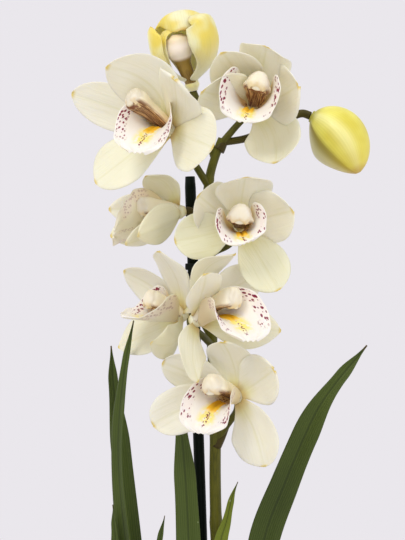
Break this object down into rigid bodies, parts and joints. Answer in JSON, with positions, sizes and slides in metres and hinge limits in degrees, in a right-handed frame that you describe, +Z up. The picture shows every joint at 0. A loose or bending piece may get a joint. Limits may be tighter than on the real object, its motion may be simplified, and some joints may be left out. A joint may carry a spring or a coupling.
{
  "type": "potted orchid",
  "caption": "Potted orchid: a tall staked spike of large cream blooms with spotted white lips, buds above, and arching strap leaves in bark in a plain round pot.",
  "frame": {"origin": "centre of the pot's flat underside", "axes": "+Z up along the pot and the flower spike; -Y towards the side that most blooms face; +X to the right seen from there"},
  "size_m": [0.4228, 0.369, 0.6872],
  "materials": {
    "pot": "matt terracotta-coloured plastic",
    "potting_mix": "loose damp bark",
    "stake": "dark green, slightly glossy",
    "tie": "dark green, matt",
    "spike": "satin plant stem",
    "leaf": "satin green leaf",
    "tepal": "waxy cream petal",
    "lip": "white petal with yellow ridges and magenta spots",
    "opening_bud": "yellow petal",
    "closed_bud": "yellow-green petal"
  },
  "bodies": {
    "root": {"pot": "pot", "potting_mix": "potting_mix", "stake": "stake", "tie": "tie", "flower_spike": "spike", "opening_bud": "opening_bud", "closed_bud": "closed_bud", "shoot_left": "leaf", "shoot_front": "leaf", "shoot_right": "leaf", "shoot_back": "leaf", "bloom_1": "tepal", "bloom_2": "tepal", "bloom_3": "tepal", "bloom_4": "tepal", "bloom_5": "tepal", "bloom_6": "tepal", "bloom_7": "tepal", "bloom_1_lip": "lip", "bloom_2_lip": "lip", "bloom_3_lip": "lip", "bloom_4_lip": "lip", "bloom_5_lip": "lip", "bloom_6_lip": "lip", "bloom_7_lip": "lip"}
  },
  "joints": []
}
